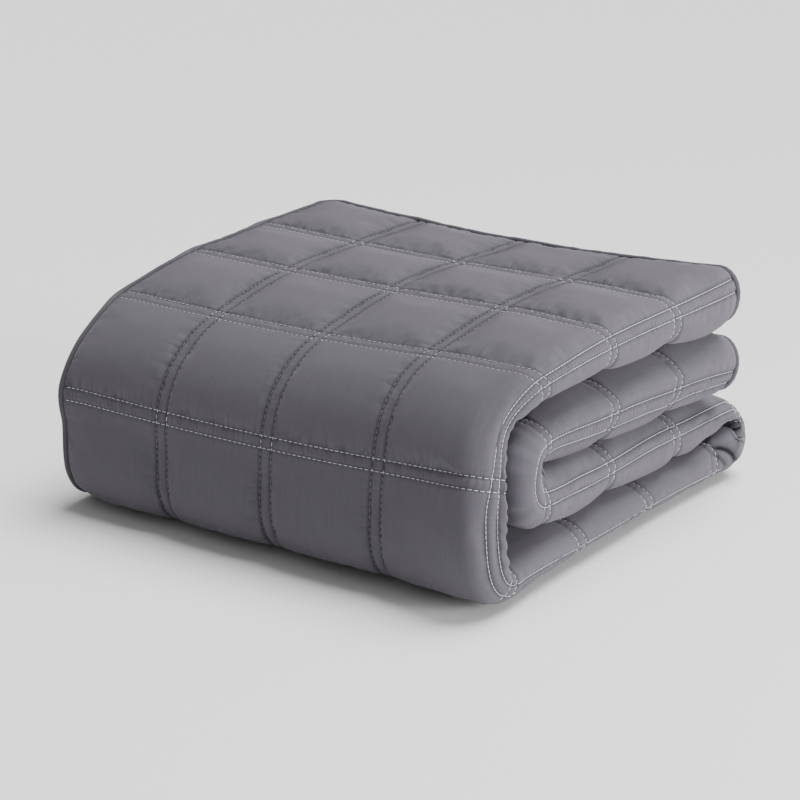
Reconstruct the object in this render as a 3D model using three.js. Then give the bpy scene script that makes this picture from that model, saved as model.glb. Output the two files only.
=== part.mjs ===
// A quilted comforter folded for a shelf. The blanket is folded in thirds across its width, then in half
// twice along its length. The filled body is one solid: a C-shaped section of three layers, carried along
// a back-and-forth path of four levels, with a crown in each quilted box and a sewn channel between boxes.
// A bound strip runs round all four edges of the blanket. Millimetres, X to the right, Y back, Z up.
import * as THREE from 'three';

// Quilting: the blanket is a grid of boxes between stitched lines
const BOX = 127;
const BOXES_ACROSS = 12;
const BOXES_ALONG = 16;

// Filling: half thicknesses of the body at a stitched line and at a box's crown
const SEAM_HALF = 3;
const CROWN_HALF = 8.7;
const CROWN_SHAPE = 0.42;
const CROWN_SPREAD = 0.12;
const CHANCE_WAVE = { column: 12.99, line: 78.23, height: 437.58 };

// Section of the fold in thirds: outer layer, right crest, under layer, left crest, middle layer
const LAYER_RISE = 18.5;
const LEFT_EDGE_X = -255;
const RIGHT_CREST_X = 230;
const LEFT_CREST_X = -252;

// Binding: width and half thickness of the bound strip, and its gap to the body
const BINDING_GAP = 0.3;
const BINDING_WIDTH = 7;
const BINDING_HALF = 4;
const BINDING_SIDES = 6;
const CORNER_STEPS = 3;

// Path of the strip's middle through the four levels, [back, up] at the left side and at the right side.
// The top level runs forward, turns down over the front, runs back along the floor as the bottom level,
// turns up at the back, runs forward, turns up inside the front, and runs back under the top level.
const PATH = {
  topBack: { left: [158, 209], right: [158, 201] },
  topMiddle: { left: [70, 204], right: [70, 205] },
  topFront: { left: [-20, 199.5], right: [-20, 204] },
  shoulderUpper: { left: [-160, 196], right: [-230, 207] },
  shoulderLower: { left: [-262, 168], right: [-232, 192] },
  frontMiddle: { left: [-259, 95], right: [-256, 95] },
  footUpper: { left: [-258, 60], right: [-262, 64] },
  footLower: { left: [-255, 22.5], right: [-259, 24.5] },
  footBack: { left: [-215, 22.5], right: [-215, 24.5] },
  backTurnLow: { left: [176, 22.5], right: [187, 22.5] },
  backTurnHigh: { left: [176, 74], right: [187, 66] },
  forwardMiddle: { left: [20, 82], right: [70, 84] },
  innerTurnLow: { left: [-184, 75], right: [-180, 82.5] },
  innerTurnHigh: { left: [-184, 123], right: [-180, 142] },
  underMiddle: { left: [-20, 142], right: [70, 146] },
  underBack: { left: [170, 138], right: [170, 127] },
};
const TANGENT_REACH = 0.01;
const LEFT_BLEND_X = -258;
const RIGHT_BLEND_X = 246;

// Stitched line reached at the end of each stretch of the path, counted from the back of the top level
const STRETCH_ENDS = [1.53, 4.18, 5.2, 8.3, 9.15, 11.97, 12.93, 16];

// How full the strip of three layers stands along the path, at the left and right sides of the stack:
// it is drawn tight over the turns
const FULLNESS = [
  { line: 0, left: 1.06, right: 1.28 },
  { line: 1, left: 1.06, right: 1.1 },
  { line: 1.8, left: 1.02, right: 1.08 },
  { line: 3, left: 0.82, right: 0.84 },
  { line: 3.5, left: 0.68, right: 0.68 },
  { line: 4.2, left: 0.58, right: 0.58 },
  { line: 5.1, left: 0.7, right: 0.7 },
  { line: 6, left: 1.04, right: 0.95 },
  { line: 7.5, left: 1.03, right: 0.94 },
  { line: 8.3, left: 0.86, right: 0.74 },
  { line: 8.7, left: 0.74, right: 0.66 },
  { line: 9.3, left: 0.86, right: 0.74 },
  { line: 10.2, left: 1.05, right: 1.05 },
  { line: 11.4, left: 0.94, right: 1.06 },
  { line: 12, left: 0.76, right: 0.78 },
  { line: 12.9, left: 0.76, right: 0.78 },
  { line: 13.6, left: 0.94, right: 1.1 },
  { line: 14.6, left: 1.11, right: 1.15 },
  { line: 16, left: 1.12, right: 1.16 },
];

// Extra room for the outer layer where it rounds the foot of the front
const TOE = [
  { line: 4.2, left: 0, right: 0 },
  { line: 4.85, left: 0.62, right: 0.3 },
  { line: 5.6, left: 0, right: 0 },
];

// Sideways drift of the levels: no two folds lie exactly over each other
const DRIFT = [
  { line: 0, aside: 0 },
  { line: 3.4, aside: 0 },
  { line: 4.7, aside: 4 },
  { line: 6, aside: -6 },
  { line: 9, aside: -7 },
  { line: 11, aside: -6 },
  { line: 13, aside: -5 },
  { line: 16, aside: -1 },
];

// The stack is packed down a little in its middle
const SAG_SHARE = 0.036;

// Places within a box where the mesh has points, as shares of the box
const FINE_STEPS = [0, 0.09, 0.5, 0.91];
const PLAIN_STEPS = [0, 0.12, 0.88];
const HALF_STEPS = [0, 0.5];
const SHOULDER_STEPS = [0, 0.09, 0.3, 0.5, 0.7, 0.91];
const TURN_STEPS = [0, 0.11, 0.25, 0.42, 0.58, 0.75, 0.89];
const CREST_STEPS = [0, 0.05, 0.11, 0.18, 0.27, 0.6];
const LEAD_STEPS = [0, 0.09, 0.5, 0.82, 0.89, 0.95];
const LEFT_TURN_STEPS = [0, 0.064, 0.14, 0.215, 0.293, 0.6];

const RIGHT_CREST_BOX = 4;
const LEFT_CREST_BOX = 8;
const TURN_BOXES = [8, 12];
const SHOULDER_BOXES = [3, 4];
const LAST_FINE_BOX_ALONG = 2;

const SHELL_COLOUR = 0x8b8a92;
const BINDING_COLOUR = 0x84838b;
const CLOTH_ROUGHNESS = 0.85;

// Value of a column between the rows of a table, eased so that it has no kinks
function tableValue(rows, column, line) {
  let row = 1;
  while (row < rows.length - 1 && line > rows[row].line) row += 1;
  const from = rows[row - 1];
  const to = rows[row];
  const share = THREE.MathUtils.smoothstep(line, from.line, to.line);
  return THREE.MathUtils.lerp(from[column], to[column], share);
}

// Section in the plane of X and the strip's own rise, drawn from the bound left edge inwards
function thirdsSection() {
  const section = new THREE.Path();
  const quarter = Math.PI / 2;
  section.moveTo(LEFT_EDGE_X, LAYER_RISE);
  section.lineTo(RIGHT_CREST_X, LAYER_RISE);
  section.absarc(RIGHT_CREST_X, 0, LAYER_RISE, quarter, -quarter, true);
  section.lineTo(LEFT_CREST_X, -LAYER_RISE);
  section.absarc(LEFT_CREST_X, -LAYER_RISE / 2, LAYER_RISE / 2, 3 * quarter, quarter, true);
  const left = BOX * BOXES_ACROSS - section.getLength();
  section.lineTo(LEFT_CREST_X + left, 0);
  return section;
}

// Path of the strip's middle at one side of the stack, in the plane of Y and Z
function levelsPath(side) {
  const at = (name) => PATH[name][side];
  const path = new THREE.Path();
  path.moveTo(...at('topBack'));
  path.quadraticCurveTo(...at('topMiddle'), ...at('topFront'));
  path.bezierCurveTo(...at('shoulderUpper'), ...at('shoulderLower'), ...at('frontMiddle'));
  path.bezierCurveTo(...at('footUpper'), ...at('footLower'), ...at('footBack'));
  path.lineTo(...at('backTurnLow'));
  addTurn(path, at('backTurnLow'), at('backTurnHigh'), false);
  path.quadraticCurveTo(...at('forwardMiddle'), ...at('innerTurnLow'));
  addTurn(path, at('innerTurnLow'), at('innerTurnHigh'), true);
  path.quadraticCurveTo(...at('underMiddle'), ...at('underBack'));
  return path;
}

// Half circle that carries the path from one level up to the next
function addTurn(path, low, high, clockwise) {
  const middle = (low[1] + high[1]) / 2;
  const radius = (high[1] - low[1]) / 2;
  const quarter = Math.PI / 2;
  const start = clockwise ? 3 * quarter : -quarter;
  path.absarc(low[0], middle, radius, start, quarter, clockwise);
}

const SECTION = thirdsSection();
const SIDES = [levelsPath('left'), levelsPath('right')];

// Point of one side's path at a stitched line number, which may be a fraction
function pathPoint(side, line) {
  const held = THREE.MathUtils.clamp(line, 0, BOXES_ALONG);
  let stretch = 0;
  while (stretch < STRETCH_ENDS.length - 1 && held > STRETCH_ENDS[stretch]) stretch += 1;
  const start = stretch ? STRETCH_ENDS[stretch - 1] : 0;
  const share = (held - start) / (STRETCH_ENDS[stretch] - start);
  return SIDES[side].curves[stretch].getPointAt(share);
}

// How far across the stack a place lies, from 0 at its left side to 1 at its right side
function acrossShare(x) {
  return THREE.MathUtils.clamp((x - LEFT_BLEND_X) / (RIGHT_BLEND_X - LEFT_BLEND_X), 0, 1);
}

// Middle of the strip and its upward direction at a line number and a place across the stack
function pathFrame(line, x) {
  const across = acrossShare(x);
  const blend = (at) => pathPoint(0, at).lerp(pathPoint(1, at), across);
  const ahead = blend(Math.min(line + TANGENT_REACH, BOXES_ALONG));
  const behind = blend(Math.max(line - TANGENT_REACH, 0));
  const along = ahead.sub(behind).normalize();
  return { middle: blend(line), along, rise: new THREE.Vector2(along.y, -along.x) };
}

// Section point, its direction along the cloth and its face direction, at a box count across
function sectionFrame(column) {
  const share = column / BOXES_ACROSS;
  const point = SECTION.getPoint(share);
  const along = SECTION.getTangent(share);
  return { point, along, face: new THREE.Vector2(-along.y, along.x) };
}

// A fixed, uneven number from 0 to 1 for each box
function boxChance(column, line) {
  const turn = column * CHANCE_WAVE.column + line * CHANCE_WAVE.line;
  const wave = Math.sin(turn) * CHANCE_WAVE.height;
  return wave - Math.floor(wave);
}

// Half thickness of the filled body: thin at the stitched lines, full in the middle of each box
function halfThickness(column, line) {
  const boxColumn = Math.min(Math.floor(column), BOXES_ACROSS - 1);
  const boxLine = Math.min(Math.floor(line), BOXES_ALONG - 1);
  const swell = (share) => Math.max(Math.sin(Math.PI * share), 0) ** CROWN_SHAPE;
  const bulge = swell(column - boxColumn) * swell(line - boxLine);
  const plump = 1 - CROWN_SPREAD * boxChance(boxColumn, boxLine);
  return SEAM_HALF + (CROWN_HALF * plump - SEAM_HALF) * bulge;
}

// Place of a point given across the section (x, rise) and along the path, with the sag and the floor
function place(x, rise, line) {
  const { middle, rise: up } = pathFrame(line, x);
  const across = acrossShare(x);
  const sideValue = (rows) => THREE.MathUtils.lerp(
    tableValue(rows, 'left', line),
    tableValue(rows, 'right', line),
    across,
  );
  const outward = rise > 0 ? sideValue(TOE) : 0;
  const height = rise * (sideValue(FULLNESS) + outward);
  const y = middle.x + up.x * height;
  const z = middle.y + up.y * height;
  const span = THREE.MathUtils.clamp(x / RIGHT_CREST_X, -1, 1);
  const packed = 1 - SAG_SHARE * Math.cos((span * Math.PI) / 2);
  return new THREE.Vector3(x + tableValue(DRIFT, 'aside', line), y, Math.max(z * packed, 0));
}

// Point on one face of the body: side is 1 for the face outside the fold in thirds, -1 for the other
function bodyPoint(column, line, side) {
  const { point, face } = sectionFrame(column);
  const half = halfThickness(column, line) * side;
  return place(point.x + face.x * half, point.y + face.y * half, line);
}

// Points across the blanket: fine on the outer layer and round the crests, plain where layers hide
function columnStops() {
  const stops = [];
  for (let box = 0; box < BOXES_ACROSS; box += 1) {
    let steps = box < RIGHT_CREST_BOX ? FINE_STEPS : HALF_STEPS;
    if (box === RIGHT_CREST_BOX - 1) steps = LEAD_STEPS;
    if (box === RIGHT_CREST_BOX) steps = CREST_STEPS;
    if (box === LEFT_CREST_BOX) steps = LEFT_TURN_STEPS;
    for (const step of steps) stops.push(box + step);
  }
  stops.push(BOXES_ACROSS);
  return stops;
}

// Points along the blanket: fine on the top and front, finer round the two tight turns
function lineStops() {
  const stops = [];
  for (let box = 0; box < BOXES_ALONG; box += 1) {
    let steps = box <= LAST_FINE_BOX_ALONG ? FINE_STEPS : PLAIN_STEPS;
    if (SHOULDER_BOXES.includes(box)) steps = SHOULDER_STEPS;
    if (TURN_BOXES.includes(box)) steps = TURN_STEPS;
    for (const step of steps) stops.push(box + step);
  }
  stops.push(BOXES_ALONG);
  return stops;
}

// Mesh from a grid of points whose rows close on themselves; rows may close into a ring as well
function ringMesh(rings, closed) {
  const size = rings[0].length;
  const positions = rings.flat().flatMap((point) => point.toArray());
  const index = [];
  const last = closed ? rings.length : rings.length - 1;
  for (let ring = 0; ring < last; ring += 1) {
    const next = (ring + 1) % rings.length;
    for (let step = 0; step < size; step += 1) {
      const beside = (step + 1) % size;
      const a = ring * size + step;
      const b = ring * size + beside;
      const c = next * size + beside;
      const d = next * size + step;
      index.push(a, c, b, a, d, c);
    }
  }
  return { positions, index, size, count: rings.length };
}

// Flat end between the two faces of the body, across one row of its points
function addEnd(mesh, ring, flipped) {
  const start = ring * mesh.size;
  const across = mesh.size / 2;
  for (let step = 0; step < across - 1; step += 1) {
    const a = start + step;
    const b = start + step + 1;
    const c = start + mesh.size - 2 - step;
    const d = start + mesh.size - 1 - step;
    if (flipped) mesh.index.push(a, c, b, a, d, c);
    else mesh.index.push(a, b, c, a, c, d);
  }
}

function toGeometry({ positions, index }) {
  const geometry = new THREE.BufferGeometry();
  geometry.setAttribute('position', new THREE.Float32BufferAttribute(positions, 3));
  geometry.setIndex(index);
  geometry.computeVertexNormals();
  return geometry;
}

// The filled body: out along one face of the section and back along the other, at each stop of the path
function quiltedBody() {
  const columns = columnStops();
  const rings = lineStops().map((line) => {
    const outer = columns.map((column) => bodyPoint(column, line, 1));
    const inner = columns.map((column) => bodyPoint(column, line, -1));
    return [...outer, ...inner.reverse()];
  });
  const mesh = ringMesh(rings, false);
  addEnd(mesh, 0, false);
  addEnd(mesh, mesh.count - 1, true);
  return toGeometry(mesh);
}

// One ring of the bound strip: out is the direction away from the edge, as shares across and along
function bindingRing(column, line, outAcross, outAlong) {
  const { point, along, face } = sectionFrame(column);
  const centre = BINDING_GAP + BINDING_WIDTH / 2;
  const ring = [];
  for (let side = 0; side < BINDING_SIDES; side += 1) {
    const angle = (2 * Math.PI * side) / BINDING_SIDES;
    const out = centre - (BINDING_WIDTH / 2) * Math.cos(angle);
    const off = BINDING_HALF * Math.sin(angle);
    const x = point.x + along.x * out * outAcross + face.x * off;
    const rise = point.y + along.y * out * outAcross + face.y * off;
    const spot = place(x, rise, line);
    const ahead = pathFrame(line, x).along;
    spot.y += ahead.x * out * outAlong;
    spot.z += ahead.y * out * outAlong;
    ring.push(spot);
  }
  return ring;
}

// Rings round one corner of the blanket, from one edge's direction to the next
function cornerRings(column, line, from, to) {
  const rings = [];
  for (let step = 1; step < CORNER_STEPS; step += 1) {
    const turn = (Math.PI / 2) * (step / CORNER_STEPS);
    const outAcross = from[0] * Math.cos(turn) + to[0] * Math.sin(turn);
    const outAlong = from[1] * Math.cos(turn) + to[1] * Math.sin(turn);
    rings.push(bindingRing(column, line, outAcross, outAlong));
  }
  return rings;
}

// The bound strip: along the four edges of the blanket in turn, with a rounded corner between them
function edgeBinding() {
  const columns = columnStops();
  const lines = lineStops();
  const back = [0, -1];
  const right = [1, 0];
  const front = [0, 1];
  const left = [-1, 0];
  const rings = [
    ...columns.map((column) => bindingRing(column, 0, ...back)),
    ...cornerRings(BOXES_ACROSS, 0, back, right),
    ...lines.map((line) => bindingRing(BOXES_ACROSS, line, ...right)),
    ...cornerRings(BOXES_ACROSS, BOXES_ALONG, right, front),
    ...columns.toReversed().map((column) => bindingRing(column, BOXES_ALONG, ...front)),
    ...cornerRings(0, BOXES_ALONG, front, left),
    ...lines.toReversed().map((line) => bindingRing(0, line, ...left)),
    ...cornerRings(0, 0, left, back),
  ];
  return toGeometry(ringMesh(rings, true));
}

function clothMesh(name, geometry, colour) {
  const material = new THREE.MeshStandardMaterial({ color: colour, roughness: CLOTH_ROUGHNESS, metalness: 0 });
  const mesh = new THREE.Mesh(geometry, material);
  mesh.name = name;
  return mesh;
}

const comforter = new THREE.Group();
comforter.add(clothMesh('quilted_body', quiltedBody(), SHELL_COLOUR));
comforter.add(clothMesh('edge_binding', edgeBinding(), BINDING_COLOUR));

// The origin is the middle of the underside
const reach = new THREE.Box3().setFromObject(comforter, true);
const centre = reach.getCenter(new THREE.Vector3());
comforter.position.set(-centre.x, -centre.y, -reach.min.z);

export default comforter;
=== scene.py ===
"""A folded, box-quilted comforter: its quilted body, bound edge and stitching, on a pale floor."""

import math

import bmesh
import bpy
import numpy as np
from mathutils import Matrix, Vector


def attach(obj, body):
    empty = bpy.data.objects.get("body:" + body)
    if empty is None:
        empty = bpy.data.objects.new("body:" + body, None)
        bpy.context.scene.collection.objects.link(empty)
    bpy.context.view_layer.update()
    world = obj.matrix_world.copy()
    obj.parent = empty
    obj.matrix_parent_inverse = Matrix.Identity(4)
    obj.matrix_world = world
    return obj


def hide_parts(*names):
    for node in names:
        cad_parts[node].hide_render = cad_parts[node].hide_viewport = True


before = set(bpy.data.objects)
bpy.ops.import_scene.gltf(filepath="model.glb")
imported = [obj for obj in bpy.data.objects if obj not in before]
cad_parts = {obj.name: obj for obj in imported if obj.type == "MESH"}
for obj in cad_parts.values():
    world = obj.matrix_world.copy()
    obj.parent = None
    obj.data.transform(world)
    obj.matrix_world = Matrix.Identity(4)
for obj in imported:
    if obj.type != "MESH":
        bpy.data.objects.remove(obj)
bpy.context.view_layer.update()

# Sizes of the fold, in millimetres; meshes are made in metres
MM = 0.001
BOX = 127.0
BOXES_ACROSS = 12
BOXES_ALONG = 16
LAYER_RISE = 18.5
LEFT_EDGE_X = -255.0
RIGHT_CREST_X = 230.0
LEFT_CREST_X = -252.0
FOLD_MIDDLE = np.array([-8.163, -27.713, 0.0])

# Filling and quilting: half thicknesses, and the two stitched rows of each channel
SEAM_HALF = 2.2
CROWN_HALF = 8.8
SHOWN_CROWN_HALF = 7.0
CROWN_SPREAD = 0.12
ROW_OFFSET = 6.35
CREST_ROW_OFFSET = 5.0
CREST_LINES = (4, 8)
EDGE_ROW = 1.0
CREASE_DEPTH = 1.3
CREASE_WIDTH = 1.6
CHANNEL_RISE = 0.1
SWELL_CURVE = 3.0
SWELL_SHAPE = 0.55
CHANCE_WAVE = {"column": 12.99, "line": 78.23, "height": 437.58}

# Path of the three-layer strip's middle, as (back, up) at the left and at the right of the stack
PATH = {
    "top_back": ((158, 209), (160, 200)),
    "top_middle": ((70, 207), (70, 203)),
    "top_front": ((-20, 202), (-18, 203)),
    "shoulder_upper": ((-162, 201), (-230, 200)),
    "shoulder_lower": ((-267, 173), (-236, 188)),
    "front_middle": ((-260, 95), (-258, 102)),
    "foot_upper": ((-258, 60), (-264, 62)),
    "foot_lower": ((-255, 22.5), (-263, 18)),
    "foot_back": ((-215, 22.5), (-217, 26)),
    "back_turn_low": ((176, 22.5), (183, 20)),
    "back_turn_high": ((176, 74), (183, 68)),
    "forward_middle": ((20, 82), (70, 78)),
    "inner_turn_low": ((-184, 75), (-179, 80)),
    "inner_turn_high": ((-184, 123), (-179, 138)),
    "under_middle": ((-20, 142), (70, 148)),
    "under_back": ((170, 138), (170, 126)),
}
STRETCH_ENDS = (1.53, 4.18, 5.2, 8.3, 9.15, 11.97, 12.93, 16)
STRETCH_SAMPLES = 400
TANGENT_REACH = 0.01
LEFT_BLEND_X = -258.0
RIGHT_BLEND_X = 246.0

# How full the strip stands along the path: stitched line, left, right
FULLNESS = (
    (0, 1.06, 1.28), (1, 1.06, 1.1), (1.8, 1.02, 1.08), (3, 0.82, 0.84),
    (3.5, 0.68, 0.68), (4.2, 0.58, 0.58), (5.1, 0.7, 0.7), (6, 1.04, 0.95),
    (7.5, 1.03, 0.94), (8.3, 0.86, 0.74), (8.7, 0.74, 0.66), (9.3, 0.86, 0.74),
    (10.2, 1.05, 1.05), (11.4, 0.94, 1.06), (12, 0.76, 0.78), (12.9, 0.76, 0.78),
    (13.6, 0.94, 1.1), (14.6, 1.11, 1.15), (16, 1.12, 1.16),
)

# Extra room for the outer layer round the foot of the front: stitched line, left, right
TOE = (
    (4.2, 0, 0), (4.85, 0.62, 0.3), (5.6, 0, 0),
)

# Sideways drift of the levels: stitched line, left, right
DRIFT = (
    (0, 0, 2), (2.6, 2, -1), (3.4, 1, -6), (4.1, 0, 0),
    (4.8, 6, 4), (6, -6, -5), (7.5, -6, -9), (8.3, -6, -9),
    (9, -7, -14), (10.2, -6, -9), (11.6, -6, 0), (12.5, -5, 4),
    (13.2, -5, -6), (14.5, -2, -5), (16, -1, -1),
)

# Share of its height that the stack's middle sinks: stitched line, share
SAG = (
    (0, 0.034), (1.5, 0.01), (3, 0.03), (4, 0.045), (6, 0.036), (16, 0.036),
)

# How far the crest of the fold in thirds lies past its usual place on the cloth: stitched line, distance
FOLD_SHIFT = (
    (0, 3), (2, 0), (3, -1), (3.6, -10), (4.3, -1), (5, 0),
    (6, 2.5), (7.5, 2.5), (8.3, 4), (9, 6), (10, -1), (11, -4),
    (12, 0), (13, -0.5), (14, 2), (15, 3.5), (16, 3),
)

# Extra room of the side crest, which is free to swell: stitched line, face side, back side
CREST_ROOM = (
    (0, 0.05, 0.05), (0.6, -0.15, 0.15), (1.6, -0.2, 0.1), (2.4, -0.25, -0.05),
    (3.2, -0.25, 0), (4.2, 0.55, -0.2), (5.2, 0, -0.1), (6.5, -0.35, -0.2),
    (7.6, -0.2, -0.1), (8, -0.1, 0.4), (8.3, 0, 0.65), (8.7, 0.1, 0.5),
    (9, 0, -0.5), (9.25, -0.05, -0.65), (9.5, -0.05, -0.25), (9.8, -0.1, 0.1),
    (10.8, -0.15, 0.15), (11.6, 0, 0.1), (12.45, 1.05, 0.15), (13.3, 0.35, -0.1),
    (14.2, 0.65, -0.1), (14.8, 0.6, -0.05), (15.4, 0.35, 0.05), (16, 0.15, 0.1),
)

# Lean of the side crest, out for each step of rise: stitched line, face half, back half
CREST_LEAN = (
    (0, 0, 0), (0.6, -0.3, 0), (2.6, -0.4, -0.1), (3.5, -0.5, -0.6),
    (4.1, -0.4, -0.9), (4.6, -0.2, -0.5), (5, -0.1, 0), (5.3, -0.1, 0.2),
    (6, -0.1, 0.6), (7.5, -0.2, 0.5), (8, -0.3, -0.3), (8.7, -0.4, -0.8),
    (9.4, -0.5, -0.7), (10, -0.6, -0.4), (11.2, -0.6, 0), (12, -0.1, -0.1),
    (12.5, -0.4, 0.2), (13, -0.4, 0.8), (14, -0.4, 1.4), (15.3, -0.2, 1.1),
    (16, 0, 0),
)

# How far the lowest layer of a level settles on the level below, behind the crest: stitched line, drop
SETTLE = (
    (0, 4), (0.6, 9), (2.6, 10), (3.1, 0), (9.5, 0), (10.2, 7),
    (11.3, 7), (11.9, 0), (13.2, 0), (13.9, 8), (15.4, 8), (16, 3),
)
SETTLE_X = 224.0
SETTLE_REACH = 30.0

# Lift of the free left corner off the ground at the foot of the front: stitched line, height
CORNER_LIFT = (
    (4.4, 0), (4.95, 4.5), (5.7, 0),
)
CORNER_X = -212.0
CORNER_REACH = 36.0

# Rounding of the crest where the strip ends: how far it draws in, and over how many boxes
CREST_END_DRAW = 2.0
CREST_END_REACH = 0.3

# Where across the stack the side crest's own tables start to count, and its softness
CREST_SOFT = 6.0
CREST_START_X = 140.0
CREST_FULL_X = 240.0

# Squareness of the crest's outline: 2 is a half circle, as where the strip ends, and more is boxier
CREST_POWER = 2.2
ROUND_POWER = 2
CREST_SAMPLES = 200
CREST_ROUND_REACH = 0.7

# Corners of the flat blanket, and how far its edges are drawn in between the stitched lines
CORNER_RADIUS = 24.0
EDGE_PULL = 3.0
EDGE_PULL_REACH = 0.5
EDGE_PULL_WIDTH = 22.0

# Camera of the photograph: angles in degrees, distances in millimetres in the fold's own place
VIEW_AZIMUTH = 35.95
VIEW_ELEVATION = 17.89
VIEW_DISTANCE = 2059.9
VIEW_TARGET = np.array([119.64, -224.49, 168.29])
VIEW_LENS = 103.1
VIEW_SENSOR = 36.0


# Fold: section, path and placing

def smooth(share):
    """A share from 0 to 1, made level at both ends."""
    return share * share * (3 - 2 * share)


def eased(rows, column, line):
    """Value of a table's column between its rows, eased so that it has no kinks."""
    rows = np.array(rows, float)
    row = np.clip(np.searchsorted(rows[:, 0], line) - 1, 0, len(rows) - 2)
    start, end = rows[row, 0], rows[row + 1, 0]
    share = smooth(np.clip((line - start) / (end - start), 0, 1))
    return rows[row, column] + (rows[row + 1, column] - rows[row, column]) * share


def crest_outline(power):
    """Crest of the fold in thirds: shares of its length, places out and up, and its heading."""
    angle = np.linspace(0, math.pi, CREST_SAMPLES)
    out = np.abs(np.sin(angle)) ** (2 / power)
    up = np.sign(np.cos(angle)) * np.abs(np.cos(angle)) ** (2 / power)
    run = np.concatenate([[0], np.cumsum(np.hypot(np.diff(out), np.diff(up)))])
    heading = np.unwrap(np.arctan2(-np.gradient(up, run), np.gradient(out, run)))
    heading[0], heading[-1] = 0, math.pi
    return run / run[-1], out, up, heading


BOXY_CREST = crest_outline(CREST_POWER)
ROUND_CREST = crest_outline(ROUND_POWER)


def section(column, line):
    """Place (x, rise) and direction of the fold in thirds, at a box count from the bound left edge."""
    run = np.asarray(column, float) * BOX
    boxy = np.clip(np.minimum(line, BOXES_ALONG - line) / CREST_ROUND_REACH, 0, 1)
    crest_x = RIGHT_CREST_X + eased(FOLD_SHIFT, 1, line)
    outer = crest_x - LEFT_EDGE_X
    crest = math.pi * LAYER_RISE
    under = crest_x - LEFT_CREST_X
    turn = math.pi * LAYER_RISE / 2
    crest_share = np.clip((run - outer) / crest, 0, 1)
    crest_out, crest_up, right_angle = [
        np.interp(crest_share, BOXY_CREST[0], BOXY_CREST[part]) * boxy
        + np.interp(crest_share, ROUND_CREST[0], ROUND_CREST[part]) * (1 - boxy)
        for part in (1, 2, 3)
    ]
    left_angle = np.clip((run - outer - crest - under) / (LAYER_RISE / 2), 0, math.pi)
    heading = right_angle + left_angle
    under_run = np.clip(run - outer - crest, 0, under)
    last_run = np.maximum(run - outer - crest - under - turn, 0)
    x = LEFT_EDGE_X + np.minimum(run, outer)
    x = x + LAYER_RISE * crest_out - under_run
    x = x - LAYER_RISE / 2 * np.sin(left_angle) + last_run
    rise = LAYER_RISE * crest_up + LAYER_RISE / 2 * (1 - np.cos(left_angle))
    return x, rise, np.cos(heading), -np.sin(heading)


def bezier(points, share):
    """Bezier curve of any degree through its control points."""
    layers = [np.outer(np.ones_like(share), point) for point in points]
    while len(layers) > 1:
        pairs = zip(layers, layers[1:])
        layers = [a + (b - a) * share[:, None] for a, b in pairs]
    return layers[0]


def half_turn(low, high, forward, share):
    """Half circle from one level up to the next, bulging forward or back."""
    radius = (high[1] - low[1]) / 2
    angle = math.pi * share
    bulge = -1 if forward else 1
    back = low[0] + bulge * radius * np.sin(angle)
    return np.stack([back, low[1] + radius * (1 - np.cos(angle))], 1)


def stretch_table(side):
    """Points of each stretch of one side's path, evenly spaced along it."""
    at = {name: np.array(sides[side], float) for name, sides in PATH.items()}
    share = np.linspace(0, 1, STRETCH_SAMPLES)
    curves = [
        bezier([at["top_back"], at["top_middle"], at["top_front"]], share),
        bezier([at["top_front"], at["shoulder_upper"], at["shoulder_lower"], at["front_middle"]], share),
        bezier([at["front_middle"], at["foot_upper"], at["foot_lower"], at["foot_back"]], share),
        bezier([at["foot_back"], at["back_turn_low"]], share),
        half_turn(at["back_turn_low"], at["back_turn_high"], False, share),
        bezier([at["back_turn_high"], at["forward_middle"], at["inner_turn_low"]], share),
        half_turn(at["inner_turn_low"], at["inner_turn_high"], True, share),
        bezier([at["inner_turn_high"], at["under_middle"], at["under_back"]], share),
    ]
    even = []
    for points in curves:
        steps = np.linalg.norm(np.diff(points, axis=0), axis=1)
        run = np.concatenate([[0], np.cumsum(steps)])
        spots = share * run[-1]
        even.append(np.stack([np.interp(spots, run, points[:, i]) for i in range(2)], 1))
    return even


SIDES = (stretch_table(0), stretch_table(1))


def side_path(side, line):
    """Point (back, up) of one side's path at a stitched line number."""
    ends = np.array(STRETCH_ENDS)
    line = np.clip(line, 0, BOXES_ALONG)
    stretch = np.clip(np.searchsorted(ends, line), 0, len(ends) - 1)
    starts = np.concatenate([[0], ends[:-1]])
    share = (line - starts[stretch]) / (ends[stretch] - starts[stretch])
    spots = np.linspace(0, 1, STRETCH_SAMPLES)
    point = np.zeros((len(line), 2))
    for index, points in enumerate(SIDES[side]):
        here = stretch == index
        for axis in range(2):
            point[here, axis] = np.interp(share[here], spots, points[:, axis])
    return point


def across_share(x):
    """Place across the stack, from 0 at its left side to 1 at its right side."""
    return np.clip((x - LEFT_BLEND_X) / (RIGHT_BLEND_X - LEFT_BLEND_X), 0, 1)


def path_frame(line, x):
    """Middle of the strip, its direction along and its direction up, as (back, up) pairs."""
    across = across_share(x)[:, None]

    def blend(at):
        return side_path(0, at) * (1 - across) + side_path(1, at) * across

    along = blend(line + TANGENT_REACH) - blend(line - TANGENT_REACH)
    along = along / np.linalg.norm(along, axis=1)[:, None]
    rise = np.stack([along[:, 1], -along[:, 0]], 1)
    return blend(line), along, rise


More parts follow.
